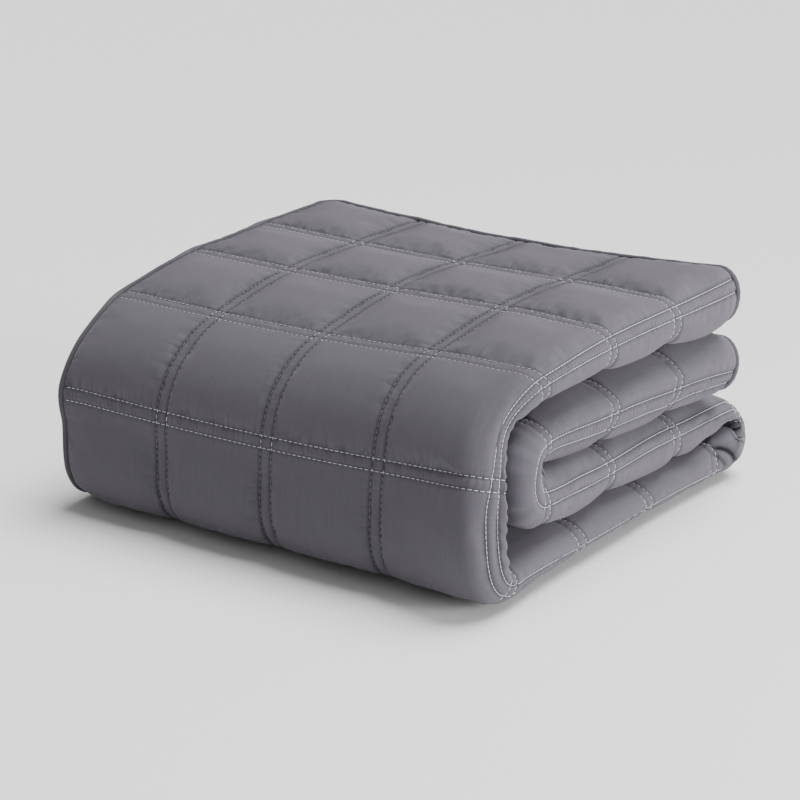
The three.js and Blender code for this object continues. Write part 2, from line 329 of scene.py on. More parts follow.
def place(x, rise, line, ahead=0.0):
    """Points in the part's frame, in millimetres, from a place across, a rise and a line number."""
    middle, along, up = path_frame(line, x)
    across = across_share(x)

    def side_value(rows):
        return eased(rows, 1, line) * (1 - across) + eased(rows, 2, line) * across

    def half_value(rows):
        return np.where(rise > 0, eased(rows, 1, line), eased(rows, 2, line))

    free = smooth(np.clip((x - CREST_START_X) / (CREST_FULL_X - CREST_START_X), 0, 1))
    full = side_value(FULLNESS) + np.where(rise > 0, side_value(TOE), 0) + half_value(CREST_ROOM) * free
    end = np.minimum(line, BOXES_ALONG - line)
    drawn = CREST_END_DRAW * np.clip(1 - end / CREST_END_REACH, 0, 1) ** 2
    tilt = half_value(CREST_LEAN) * np.sign(rise) * (np.hypot(rise, CREST_SOFT) - CREST_SOFT)
    x = x + free * (tilt - drawn)
    spot = middle + up * (rise * full)[:, None] + along * np.reshape(ahead, (-1, 1))
    span = np.clip(x / RIGHT_CREST_X, -1, 1)
    packed = 1 - eased(SAG, 1, line) * np.cos(span * math.pi / 2)
    lowest = np.where(up[:, 1] * rise < 0, 1, 0)
    behind = np.clip((SETTLE_X - np.abs(x)) / SETTLE_REACH, 0, 1)
    drop = eased(SETTLE, 1, line) * lowest * smooth(behind)
    corner = np.clip((CORNER_X - x) / CORNER_REACH, 0, 1)
    lift = eased(CORNER_LIFT, 1, line) * smooth(corner)
    height = np.maximum(spot[:, 1] * packed - drop, 0) + lift
    return np.stack([x + side_value(DRIFT), spot[:, 0], height], 1) - FOLD_MIDDLE


# Unevenness: smooth noise from fixed lattices

LATTICE_MIX = {"column": 374761393, "row": 668265263, "seed": 974634777, "spread": 1274126177}
LATTICE_BITS = 0xFFFFFFFF
LATTICE_LOW_BITS = 0xFFFF


def lattice(column, row, seed):
    """A fixed uneven number from -1 to 1 at each whole point of a lattice."""
    column, row = column.astype(np.int64), row.astype(np.int64)
    mixed_up = column * LATTICE_MIX["column"] + row * LATTICE_MIX["row"] + seed * LATTICE_MIX["seed"]
    mixed_up = mixed_up & LATTICE_BITS
    mixed_up = ((mixed_up ^ (mixed_up >> 13)) * LATTICE_MIX["spread"]) & LATTICE_BITS
    return ((mixed_up ^ (mixed_up >> 16)) & LATTICE_LOW_BITS) / (LATTICE_LOW_BITS / 2) - 1


def noise(x, y, seed):
    """Smooth noise over a plane, from -1 to 1; seed may be an array."""
    column, row = np.floor(x), np.floor(y)
    u, v = x - column, y - row
    u, v = smooth(u), smooth(v)
    seed = np.asarray(seed, np.int64)
    low = lattice(column, row, seed) * (1 - u) + lattice(column + 1, row, seed) * u
    high = lattice(column, row + 1, seed) * (1 - u) + lattice(column + 1, row + 1, seed) * u
    return low * (1 - v) + high * v


# Quilting: crowns between channels, drawn in at the stitched rows

# Gathers beside the stitched rows, and soft dents: sizes in millimetres, shares and seeds
PUCKER_PITCH = 8.0
PUCKER_LENGTH = 34.0
PUCKER_FADE = 13.0
PUCKER_SWAY = 0.2
PUCKER_SWAY_LENGTH = 40.0
FINE_PUCKER_SHARE = 0.5
FINE_PUCKER_PITCH = 0.55
PUCKER_STRENGTH = 0.75
PUCKER_SPREAD = 0.5
PUCKER_SPREAD_LENGTH = 70.0
PUCKER_SEEDS = {"along": 40, "across": 140, "strength": 300, "sway": 500, "fine": 900}
PUCKER_ACROSS = 0.45
PUCKER_ALONG = 0.7
FRONT_LINE = 4
FRONT_PUCKER = 1.6
CHANNEL_PUCKER = 0.15
FAR_PUCKER = 0.25
CREST_PUCKER = 0.3
PINNED_SHARE = 0.92
PINNED_WIDTH = 2.5
DENT_PITCH = 55.0
DENT_DEPTH = 0.9
DENT_SEED = 7


def channel_gap(count, last):
    """Distance in millimetres from the nearest stitched line, and that line's number."""
    line = np.clip(np.round(count), 0, last)
    return np.abs(count - line) * BOX, line


def row_offset(line, last):
    """Distance of the stitched rows from a line, which is less on a crest because the cloth fans out."""
    offset = np.where((line == 0) | (line == last), EDGE_ROW, ROW_OFFSET)
    if last == BOXES_ACROSS:
        offset = np.where(np.isin(line, CREST_LINES), CREST_ROW_OFFSET, offset)
    return offset


def row_gaps(column, line):
    """Across and along: distance from the nearest line, that line's number and the offset of its rows."""
    gaps = []
    for count, last in ((column, BOXES_ACROSS), (line, BOXES_ALONG)):
        gap, nearest = channel_gap(count, last)
        gaps.append((gap, nearest, row_offset(nearest, last)))
    return gaps


def crease(gap, row):
    """How far the thread draws the cloth in at a stitched row."""
    return CREASE_DEPTH * np.exp(-((gap - row) / CREASE_WIDTH) ** 2)


def swell(gap, row):
    """Share of the full crown at a distance from a channel: none at its stitched rows."""
    share = np.clip((gap - row) / (BOX / 2 - row), 0, 1)
    crown = (1 - (1 - share) ** SWELL_CURVE) ** SWELL_SHAPE
    inside = CHANNEL_RISE * np.clip(1 - (gap / row) ** 2, 0, 1)
    return np.where(gap < row, inside, crown)


def far_edge(count, line, last_line):
    """Whether places lie on a box's edge that faces away: past one of the lines up to a last one."""
    return (count > line) & (line >= 1) & (line <= last_line)


def smooth_swell(gap):
    """Share of the full crown at a box's far edge, which lies smooth and shallow."""
    share = np.clip((gap - ROW_OFFSET) / (BOX / 2 - ROW_OFFSET), 0, 1)
    return 1 - (1 - share) ** 2


def puckers(gap, line, row, run, side, seed):
    """Gathers that run out from a stitched row: ridges across it that fade into the box."""
    seeds = seed + line.astype(np.int64) * 2 + side
    sway = noise(run / PUCKER_SWAY_LENGTH, gap / PUCKER_SWAY_LENGTH, seeds + PUCKER_SEEDS["sway"])
    run_here = run + sway * gap * PUCKER_SWAY
    ridge = noise(run_here / PUCKER_PITCH, gap / PUCKER_LENGTH, seeds)
    fine_pitch = PUCKER_PITCH * FINE_PUCKER_PITCH
    fine = noise(run_here / fine_pitch, gap / PUCKER_LENGTH, seeds + PUCKER_SEEDS["fine"])
    spread = noise(run / PUCKER_SPREAD_LENGTH, np.zeros_like(run), seeds + PUCKER_SEEDS["strength"])
    strength = PUCKER_STRENGTH + PUCKER_SPREAD * spread
    past = np.maximum(gap - row, 0)
    fade = np.where(gap < row, CHANNEL_PUCKER, np.exp(-past / PUCKER_FADE))
    pinned = 1 - PINNED_SHARE * np.exp(-(((gap - row) / PINNED_WIDTH) ** 2))
    return (ridge + FINE_PUCKER_SHARE * fine) * strength * fade * pinned


def box_chance(column, line):
    """A fixed, uneven number from 0 to 1 for each box."""
    turn = column * CHANCE_WAVE["column"] + line * CHANCE_WAVE["line"]
    wave = np.sin(turn) * CHANCE_WAVE["height"]
    return wave - np.floor(wave)


# Creases that fan out over the crest where the strip turns back, from first to last column and line,
# with the depth, widths and painted shade of a full one; the dark lines at their bottoms are painted
# shadow
FAN_CREASES = (
    {"first": (4.42, 8.79), "last": (4.06, 8.71), "share": 1.0},
    {"first": (4.36, 8.85), "last": (4.07, 8.91), "share": 0.8},
    {"first": (4.32, 8.60), "last": (4.09, 8.60), "share": 0.7},
    {"first": (4.24, 8.03), "last": (4.06, 8.40), "share": 1.0},
    {"first": (4.22, 7.96), "last": (4.06, 8.20), "share": 0.45},
    {"first": (4.12, 8.24), "last": (4.05, 8.34), "share": 0.5},
)
FAN_DEPTH = 3.6
FAN_WIDTH = 3.4
FAN_FADE = 8.0
# Painted shade along the fan creases, and the painted shadow lines at their bottoms
FAN_SHADE = 0.85
FAN_LINE_WIDTH = 2.6
FAN_LINE_SHADE = 1.3
FAN_LINE_FADE = 6.0


def fan_creases(column, line):
    """Share of the full depth of the creases at the back turn's crest."""
    depth = np.zeros_like(column)
    for row in FAN_CREASES:
        start, run = np.array(row["first"]) * BOX, np.subtract(row["last"], row["first"]) * BOX
        length = np.linalg.norm(run)
        way = run / length
        out, ahead = column * BOX - start[0], line * BOX - start[1]
        at = out * way[0] + ahead * way[1]
        off = out * way[1] - ahead * way[0]
        within = np.clip(np.minimum(at, length - at) / FAN_FADE, 0, 1)
        depth = np.maximum(depth, row["share"] * within * np.exp(-((off / FAN_WIDTH) ** 2)))
    return depth


# Buckles on the inner side of the crest where the strip wraps round, and how uneven they are
BUCKLES = (
    {"lines": (3.1, 5.2), "pitch": 18.0, "height": 1.7},
    {"lines": (11.9, 13.0), "pitch": 15.0, "height": 1.7},
)
BUCKLE_COLUMNS = (4.06, 4.5)
BUCKLE_FADE = 0.3
BUCKLE_SWAY = {"share": 0.8, "length": 40.0, "seed": 61}
BUCKLE_SPREAD = {"share": 0.5, "length": 25.0, "seed": 67}
BUCKLE_STRENGTH = 0.7


def buckles(column, line):
    """Height of the short folds that the wraps press into the crest's inner side."""
    middle = sum(BUCKLE_COLUMNS) / 2
    reach = BUCKLE_COLUMNS[1] - middle
    across = np.clip(1 - ((column - middle) / reach) ** 2, 0, 1)
    run = line * BOX
    sway, spread = [
        wave["share"] * noise(run / wave["length"], column, wave["seed"])
        for wave in (BUCKLE_SWAY, BUCKLE_SPREAD)
    ]
    height = np.zeros_like(column)
    for buckle in BUCKLES:
        first, last = buckle["lines"]
        along = np.clip(np.minimum(line - first, last - line) / BUCKLE_FADE, 0, 1)
        turn = run / buckle["pitch"] + sway
        uneven = BUCKLE_STRENGTH + spread
        height = height + buckle["height"] * along * uneven * np.sin(2 * math.pi * turn)
    return height * across


# Where the cloth shows: finer mesh, and a lower crown because the simulation swells it
SHOWN_PATCHES = (
    {"across": (0, 4.375), "along": (0, 5.25)},
    {"across": (3.5, 4.375), "along": (5.25, 16)},
    {"across": (7.875, 8.375), "along": (0, 16)},
    {"across": (0, 3.5), "along": (8.25, 9.25)},
)
SHOWN_BLEND = 0.25


def shown_margin(column, line):
    """How far places lie inside a shown patch, in boxes; less than 0 outside all of them."""
    margins = []
    for patch in SHOWN_PATCHES:
        (left, right), (first, last) = patch["across"], patch["along"]
        margins.append(np.minimum.reduce([column - left, right - column, line - first, last - line]))
    return np.maximum.reduce(margins)


def crown_half(column, line, side):
    """Half thickness at the top of a crown, before the shown cloth is swollen."""
    shown = np.clip(1 + shown_margin(column, line) / SHOWN_BLEND, 0, 1)
    shown = np.where(side > 0, shown, 0)
    return CROWN_HALF + (SHOWN_CROWN_HALF - CROWN_HALF) * shown


def half_thickness(column, line, side):
    """Half thickness of the quilted body, with its crowns, channels, puckers and soft dents."""
    (across_gap, across_line, across_row), (along_gap, along_line, along_row) = row_gaps(column, line)
    along_far = far_edge(line, along_line, FRONT_LINE)
    level = along_far & (along_gap > ROW_OFFSET)
    along_swell = np.where(level, smooth_swell(along_gap), swell(along_gap, along_row))
    bulge = swell(across_gap, across_row) * along_swell
    box_column = np.clip(np.floor(column), 0, BOXES_ACROSS - 1)
    box_line = np.clip(np.floor(line), 0, BOXES_ALONG - 1)
    plump = 1 - CROWN_SPREAD * box_chance(box_column, box_line)
    half = SEAM_HALF + (crown_half(column, line, side) * plump - SEAM_HALF) * bulge
    half = half - crease(across_gap, across_row) - crease(along_gap, along_row)
    run_across, run_along = column * BOX, line * BOX
    over = (column > across_line).astype(np.int64)
    past = (line > along_line).astype(np.int64)
    calm = np.where(far_edge(column, across_line, CREST_LINES[0] - 1), FAR_PUCKER, 1)
    calm = np.where(across_line == CREST_LINES[0], CREST_PUCKER, calm)
    ridges = puckers(across_gap, across_line, across_row, run_along, over, PUCKER_SEEDS["along"])
    half = half + PUCKER_ALONG * calm * ridges
    front = np.where(along_line == FRONT_LINE, FRONT_PUCKER, 1) * np.where(along_far, FAR_PUCKER, 1)
    ridges = puckers(along_gap, along_line, along_row, run_across, past, PUCKER_SEEDS["across"])
    half = half + PUCKER_ACROSS * front * ridges
    half = half - FAN_DEPTH * fan_creases(column, line) + buckles(column, line)
    dent = noise(run_across / DENT_PITCH, run_along / DENT_PITCH, DENT_SEED)
    return half + DENT_DEPTH * dent * bulge


def edge_run(count, last):
    """Distance in millimetres from the nearer of two opposite edges, that edge and the way in."""
    near = np.minimum(count, last - count) * BOX
    return near, np.where(count > last / 2, last, 0), np.where(count > last / 2, -1, 1)


def cut_shape(column, line):
    """Places on the blanket as it was cut and sewn: corners rounded, edges drawn in between the lines."""
    across, across_edge, across_way = edge_run(column, BOXES_ACROSS)
    along, along_edge, along_way = edge_run(line, BOXES_ALONG)
    deep = (CORNER_RADIUS - np.minimum(across, CORNER_RADIUS)) / CORNER_RADIUS
    long = (CORNER_RADIUS - np.minimum(along, CORNER_RADIUS)) / CORNER_RADIUS
    across = across + CORNER_RADIUS * deep * (1 - np.sqrt(1 - long * long / 2))
    along = along + CORNER_RADIUS * long * (1 - np.sqrt(1 - deep * deep / 2))
    reach = EDGE_PULL_REACH * BOX
    pull_across = EDGE_PULL * np.clip(1 - across / reach, 0, 1) ** 2
    pull_along = EDGE_PULL * np.clip(1 - along / reach, 0, 1) ** 2
    near_line = np.exp(-(channel_gap(line, BOXES_ALONG)[0] / EDGE_PULL_WIDTH) ** 2)
    near_column = np.exp(-(channel_gap(column, BOXES_ACROSS)[0] / EDGE_PULL_WIDTH) ** 2)
    across = across + pull_across * (1 - near_line)
    along = along + pull_along * (1 - near_column)
    return across_edge + across_way * across / BOX, along_edge + along_way * along / BOX


def face_points(column, line, side, lift=0.0):
    """Points on one face of the body: side 1 is the face cloth, -1 the back cloth."""
    half = (half_thickness(column, line, side) + lift) * side
    column, line = cut_shape(column, line)
    x, rise, along_x, along_rise = section(column, line)
    return place(x - along_rise * half, rise + along_x * half, line)


# Quilted body

# Mesh lines in a box, cuts between them where the cloth shows, and the first step beside a stitched row
GRID = 8
FINE_CUTS = 4
FINE_STEP = 1 / (GRID * (FINE_CUTS + 1))
FIRST_STEP = 0.013
ROW_SHARE = ROW_OFFSET / BOX


def is_fine(centres):
    """Whether places on the flat plan lie on the face cloth where it shows."""
    return (shown_margin(centres[:, 0], centres[:, 1]) > 0) & (centres[:, 2] == 1)


def flat_plan():
    """Closed mesh of the flat blanket: x counts boxes across, y counts boxes along, z is the side."""
    plan = bmesh.new()
    columns, lines = BOXES_ACROSS * GRID, BOXES_ALONG * GRID
    grids = {}
    for side in (1, -1):
        grids[side] = [[plan.verts.new((i / GRID, j / GRID, side)) for j in range(lines + 1)]
                       for i in range(columns + 1)]
    for i in range(columns):
        for j in range(lines):
            face, back = grids[1], grids[-1]
            plan.faces.new((face[i][j], face[i][j + 1], face[i + 1][j + 1], face[i + 1][j]))
            plan.faces.new((back[i][j], back[i + 1][j], back[i + 1][j + 1], back[i][j + 1]))
    rim = [(i, 0) for i in range(columns)] + [(columns, j) for j in range(lines)]
    rim += [(i, lines) for i in range(columns, 0, -1)] + [(0, j) for j in range(lines, 0, -1)]
    for here, there in zip(rim, rim[1:] + rim[:1]):
        quad = [grids[1][here[0]][here[1]], grids[1][there[0]][there[1]]]
        quad += [grids[-1][there[0]][there[1]], grids[-1][here[0]][here[1]]]
        plan.faces.new(quad)
    faces = list(plan.faces)
    shown = is_fine(np.array([face.calc_center_median() for face in faces]))
    edges = {edge for face, fine in zip(faces, shown) if fine for edge in face.edges}
    bmesh.ops.subdivide_edges(plan, edges=list(edges), cuts=FINE_CUTS, use_grid_fill=True)
    return plan


def crowded(count, last):
    """Box counts moved so that mesh lines lie on the stitched rows and are closest beside them."""
    nearest = np.round(count)
    share = np.abs(count - nearest)
    row = np.where((nearest == 0) | (nearest == last), ROW_OFFSET, row_offset(nearest, last)) / BOX
    steps = np.maximum(share - ROW_SHARE, 0) / FINE_STEP
    most = (0.5 - ROW_SHARE) / FINE_STEP
    growth = (0.5 - row - FIRST_STEP * most) / (most * (most - 1) / 2)
    past = row + FIRST_STEP * steps + growth * steps * (steps - 1) / 2
    moved = np.where(share > ROW_SHARE + FINE_STEP / 2, past, share * row / ROW_SHARE)
    return nearest + np.sign(count - nearest) * moved


def linked(name, data):
    """A new object of some data, in the scene."""
    made = bpy.data.objects.new(name, data)
    bpy.context.scene.collection.objects.link(made)
    return made


def mesh_points(mesh):
    """Places of a mesh's points, in rows of three."""
    places = np.zeros(len(mesh.vertices) * 3)
    mesh.vertices.foreach_get("co", places)
    return places.reshape(-1, 3)


def quilted_body():
    """The folded, filled body, made from the flat plan."""
    plan = flat_plan()
    mesh = bpy.data.meshes.new("quilted_body_cloth")
    plan.to_mesh(mesh)
    plan.free()
    flat = mesh_points(mesh)
    flat[:, 0] = crowded(flat[:, 0], BOXES_ACROSS)
    flat[:, 1] = crowded(flat[:, 1], BOXES_ALONG)
    add_cloth_map(mesh, flat[:, :2] * BOX)
    add_shades(mesh, flat[:, 0], flat[:, 1])
    points = face_points(flat[:, 0], flat[:, 1], np.sign(flat[:, 2])) * MM
    mesh.vertices.foreach_set("co", points.ravel())
    points = swollen(mesh, points, flat)
    mesh.vertices.foreach_set("co", points.ravel())
    mesh.shade_smooth()
    mesh.update()
    return linked("quilted_body_cloth", mesh)


# Swelling of the shown cloth between its stitched rows, by simulation

SWELL_FRAMES = 16
ROW_GATHER = 0.018
BOX_GATHER = 0.006
CLOTH_SETTINGS = {
    "quality": 6,
    "mass": 0.2,
    "tension_stiffness": 20,
    "compression_stiffness": 20,
    "shear_stiffness": 8,
    "bending_stiffness": 0.03,
    "air_damping": 2,
    "use_pressure": True,
    "uniform_pressure_force": 1.6,
    "shrink_min": -ROW_GATHER,
    "shrink_max": -BOX_GATHER,
    "vertex_group_shrink": "plain",
    "vertex_group_mass": "stitched",
}
SWELL_CAP = 0.0038
LEAST_MOVE = 1e-9
GATHER_REACH = 14.0
PIN_REACH = 0.5
FAR_REACH = 45.0


def swollen(mesh, points, flat):
    """Points of the body after its shown cloth has been blown up between the stitched rows."""
    polygons = [tuple(polygon.vertices) for polygon in mesh.polygons]
    centres = np.array([flat[list(corners)].mean(axis=0) for corners in polygons])
    shown = [corners for corners, fine in zip(polygons, is_fine(centres)) if fine]
    used = np.unique(np.concatenate([np.array(corners) for corners in shown]))
    place_of = {int(vertex): index for index, vertex in enumerate(used)}
    cloth = bpy.data.meshes.new("swelling_cloth")
    faces = [[place_of[vertex] for vertex in corners] for corners in shown]
    cloth.from_pydata(points[used].tolist(), [], faces)
    sheet = linked("swelling_cloth", cloth)
    pins = sheet.vertex_groups.new(name="stitched")
    pins.add(stitched_points(flat[used], cloth), 1.0, "REPLACE")
    plain = sheet.vertex_groups.new(name="plain")
    for index, share in enumerate(plain_share(flat[used])):
        plain.add([index], float(share), "REPLACE")
    moved = run_swelling(sheet) - points[used]
    length = np.maximum(np.linalg.norm(moved, axis=1), LEAST_MOVE)
    moved = moved * (np.minimum(length, SWELL_CAP) / length)[:, None]
    bpy.data.objects.remove(sheet)
    points = points.copy()
    points[used] += moved * swell_share(flat[used])[:, None]
    points[:, 2] = np.maximum(points[:, 2], 0)
    return points


def swell_share(flat):
    """How freely the cloth swells: hardly at the far edge of a box, which lies smooth."""
    gap, line = channel_gap(flat[:, 1], BOXES_ALONG)
    away = np.clip((gap - ROW_OFFSET) / FAR_REACH, 0, 1)
    return np.where(far_edge(flat[:, 1], line, FRONT_LINE), smooth(away), 1)


def row_distance(flat):
    """Distance of places on the flat cloth from the nearest stitched row."""
    across, along = [np.abs(gap - row) for gap, _, row in row_gaps(flat[:, 0], flat[:, 1])]
    return np.minimum(across, along)


def plain_share(flat):
    """How plain the cloth lies: 0 where a stitched row gathers it, 1 in the middle of a box."""
    return np.clip(row_distance(flat) / GATHER_REACH, 0, 1)


def stitched_points(flat, cloth):
    """Indices of the points that the thread or the rest of the body holds."""
    held = row_distance(flat) < PIN_REACH
    work = bmesh.new()
    work.from_mesh(cloth)
    for vertex in work.verts:
        held[vertex.index] |= vertex.is_boundary
    work.free()
    return [int(index) for index in np.flatnonzero(held)]


def run_swelling(sheet):
    """Places of a cloth's points after its simulation."""
    modifier = sheet.modifiers.new("swelling", "CLOTH")
    for name, value in CLOTH_SETTINGS.items():
        setattr(modifier.settings, name, value)
    modifier.settings.effector_weights.gravity = 0
    modifier.collision_settings.use_collision = False
    modifier.point_cache.frame_start = 1
    modifier.point_cache.frame_end = SWELL_FRAMES
    scene = bpy.context.scene
    for step in range(1, SWELL_FRAMES + 1):
        scene.frame_set(step)
    graph = bpy.context.evaluated_depsgraph_get()
    places = mesh_points(sheet.evaluated_get(graph).data)
    scene.frame_set(1)
    return places


def add_cloth_map(mesh, places):
    """UV map in metres of the flat cloth, so that weave and ribs follow the surface."""
    layer = mesh.uv_layers.new(name="cloth")
    corner = np.zeros(len(mesh.loops), np.int32)
    mesh.loops.foreach_get("vertex_index", corner)
    layer.data.foreach_set("uv", (places[corner] * MM).ravel())


# Widths and shares of the painted shade at the rows, the channels' ribs and the fine gathers
SEAM_SHADE_WIDTH = 1.45
ACROSS_SHADE = 0.5
RIB_EDGE = 1.3
RIB_FADE = 0.5
PLAIN_RIB = 0.3
GATHER_FADE = 9.0
CHANNEL_GATHER = 0.35
ALONG_GATHER = 0.55
FRONT_GATHER = 1.5
CREST_GATHER = 0.45


def add_shades(mesh, column, line):
    """Attributes for the finish: painted shade at rows and creases, ribs in channels, gathers beside rows.
    """
    gaps = row_gaps(column, line)
    shades, ribs, fades = [], [], []
    for gap, _, row in gaps:
        off = (gap - row) / SEAM_SHADE_WIDTH
        shades.append(np.exp(-off * off))
        ribs.append(np.clip(RIB_EDGE - gap / row, 0, RIB_FADE) / RIB_FADE)
        past = np.maximum(gap - row, 0)
        fades.append(np.where(past > 0, np.exp(-past / GATHER_FADE), CHANNEL_GATHER))
    (_, across_line, _), (_, along_line, _) = gaps
    # Painted shade: darkens the cloth's colour along the stitched rows, where the grooves lie in shade
    seam = np.maximum(shades[0], ACROSS_SHADE * shades[1])
    crest = np.abs(column - CREST_LINES[0]) < 0.5
    calm = np.where(crest, CREST_GATHER, 1)
    across_calm = np.where(far_edge(column, across_line, CREST_LINES[0] - 1), FAR_PUCKER, calm)
    along_calm = np.where(far_edge(line, along_line, FRONT_LINE), FAR_PUCKER, calm)
    front = np.where(along_line == FRONT_LINE, FRONT_GATHER, 1)
    attributes = {
        "seam": np.maximum(seam, FAN_SHADE * fan_creases(column, line)),
        "rib_along": ribs[0] * np.where(crest, 1, PLAIN_RIB),
        "rib_across": ribs[1],
        "gather_along": ALONG_GATHER * across_calm * fades[0],
        "gather_across": along_calm * front * fades[1],
    }
    for name, values in attributes.items():
        layer = mesh.attributes.new(name, "FLOAT", "POINT")
        layer.data.foreach_set("value", values.astype(np.float32))


# Edge binding

# Spacing of the stations, the section as (out, off) and the strip's unevenness
BINDING_STEP = 5.0
BINDING_SECTION = (
    (0.4, -1.8), (1.6, -3.4), (4.2, -3.9), (6.4, -2.6), (7.3, 0.0),
    (6.4, 2.6), (4.2, 3.9), (1.6, 3.4), (0.4, 1.8), (0.3, 0.0),
)
BINDING_WAVE = {"share": 0.1, "length": 9.0, "side_step": 0.3, "seed": 61}
BINDING_SIDE = 2.6


def edge_stations():
    """Stations round the blanket's four edges: place across, place along, and outward shares."""
    across = np.linspace(0, BOXES_ACROSS, int(BOXES_ACROSS * BOX / BINDING_STEP))[:-1]
    along = np.linspace(0, BOXES_ALONG, int(BOXES_ALONG * BOX / BINDING_STEP))[:-1]
    edges = [
        (across, np.zeros_like(across)),
        (np.full_like(along, BOXES_ACROSS), along),
        (BOXES_ACROSS - across, np.full_like(across, BOXES_ALONG)),
        (np.zeros_like(along), BOXES_ALONG - along),
    ]
    column = np.concatenate([edge[0] for edge in edges])
    line = np.concatenate([edge[1] for edge in edges])
    column, line = cut_shape(column, line)
    ahead_across = np.roll(column, -1) - np.roll(column, 1)
    ahead_along = np.roll(line, -1) - np.roll(line, 1)
    length = np.hypot(ahead_across, ahead_along)
    return column, line, ahead_along / length, -ahead_across / length


def edge_binding():
    """The bound strip round all four edges, as one closed ring."""
    column, line, out_across, out_along = edge_stations()
    x, rise, along_x, along_rise = section(column, line)
    count, sides = len(column), len(BINDING_SECTION)
    points = np.zeros((count, sides, 3))
    cloth = np.zeros((count, sides, 2))
    run = np.arange(count) * BINDING_STEP
    for step, (out, off) in enumerate(BINDING_SECTION):
        beside = np.full(count, step * BINDING_WAVE["side_step"])
        wave = noise(run / BINDING_WAVE["length"], beside, BINDING_WAVE["seed"])
        off_here = off * (1 + BINDING_WAVE["share"] * wave)
        spot_x = x + along_x * out * out_across - along_rise * off_here
        spot_rise = rise + along_rise * out * out_across + along_x * off_here
        points[:, step] = place(spot_x, spot_rise, line, out * out_along)
        cloth[:, step] = np.stack([run, np.full(count, step * BINDING_SIDE)], 1)
    mesh = bpy.data.meshes.new("edge_binding_cloth")
    ring = np.arange(count * sides).reshape(count, sides)
    ahead = np.roll(ring, -1, 0)
    faces = np.stack([ring, np.roll(ring, -1, 1), np.roll(ahead, -1, 1), ahead], 2).reshape(-1, 4)
    mesh.from_pydata((points.reshape(-1, 3) * MM).tolist(), [], faces.tolist())
    add_cloth_map(mesh, cloth.reshape(-1, 2))
    face_outwards(mesh)
    mesh.shade_smooth()
    return linked("edge_binding_cloth", mesh)


def face_outwards(mesh):
    """Turn a closed mesh's faces to point out."""
    work = bmesh.new()
    work.from_mesh(mesh)
    bmesh.ops.recalc_face_normals(work, faces=work.faces)
    if work.calc_volume(signed=True) < 0:
        bmesh.ops.reverse_faces(work, faces=work.faces)
    work.to_mesh(mesh)
    work.free()


# Node trees

def add_node(tree, kind, inputs=None, **settings):
    """A new node with its settings, and with each input set to a value or linked to an output."""
    node = tree.nodes.new(kind)
    for name, value in settings.items():
        setattr(node, name, value)
    for socket, value in (inputs or {}).items():
        if isinstance(value, bpy.types.NodeSocket):
            tree.links.new(value, node.inputs[socket])
        else:
            node.inputs[socket].default_value = value
    return node


# Stitching

# Thread and rows in millimetres; where the rows across show and where rows end, in boxes
STITCH_PITCH = 5.8
STITCH_LENGTH = 4.3
CREST_STITCH_PITCH = 4.5
CREST_STITCH_LENGTH = 4.1
STITCH_RADIUS = 0.29
STITCH_LIFT = 0.4
ACROSS_LIFT = 0.7
ROW_STEP = 3.0
ROW_END = 0.01
SHOWN_ACROSS = (0.05, 4.45)
SHOWN_LEFT = (7.85, 8.4)
ROW_SIDES = (-1, 1)
INNER_ROWS = [(channel, side) for channel in range(1, CREST_LINES[0]) for side in ROW_SIDES]

# One stitch, as rings of (share of its length, share of its radius)
STITCH_RINGS = ((-0.5, 0.35), (-0.3, 0.95), (0.0, 1.0), (0.3, 0.95), (0.5, 0.35))
STITCH_SIDES = 5


def row_points(column, line, lift):
    """Points of one stitched row on the face cloth, a little proud of it."""
    return face_points(column, line, np.ones_like(column), lift) * MM


def row_along(channel, side, first, last, lift):
    """A stretch of one stitched row that runs the length of the blanket."""
    count = max(int((last - first) * BOX / ROW_STEP), 2)
    line = np.linspace(first, last, count)
    offset = row_offset(np.array([channel]), BOXES_ACROSS)[0]
    return row_points(np.full(count, channel + side * offset / BOX), line, lift)


def rows_along():
    """Stitched rows that run the length of the blanket inside its boxes."""
    return [
        row_along(channel, side, box + ROW_SHARE, box + 1 - ROW_SHARE, STITCH_LIFT)
        for channel, side in INNER_ROWS
        for box in range(BOXES_ALONG)
    ]


def rows_over_channels():
    """Short stretches of the same rows where they cross the channels."""
    return [
        row_along(channel, side, line - ROW_SHARE, line + ROW_SHARE, ACROSS_LIFT)
        for channel, side in INNER_ROWS
        for line in range(1, BOXES_ALONG)
    ]


def rows_on_crest():
    """The two stitched rows of each side crest, unbroken from end to end."""
    return [
        row_along(channel, side, ROW_END, BOXES_ALONG - ROW_END, STITCH_LIFT)
        for channel in CREST_LINES
        for side in ROW_SIDES
    ]


def rows_across():
    """Stitched rows that run across the blanket, where the outer layer and the left crest show."""
    rows = []
    for channel in range(1, BOXES_ALONG):
        for side in ROW_SIDES:
            for start, end in (SHOWN_ACROSS, SHOWN_LEFT):
                count = int((end - start) * BOX / ROW_STEP)
                column = np.linspace(start, end, count)
                line = np.full(count, channel + side * ROW_OFFSET / BOX)
                rows.append(row_points(column, line, ACROSS_LIFT))
    return rows


def row_object(name, rows):
    """A wire mesh of polylines, one for each stitched row."""
    mesh = bpy.data.meshes.new(name)
    points, edges = [], []
    for row in rows:
        start = len(points)
        points += row.tolist()
        edges += [(start + i, start + i + 1) for i in range(len(row) - 1)]
    mesh.from_pydata(points, edges, [])
    return linked(name, mesh)


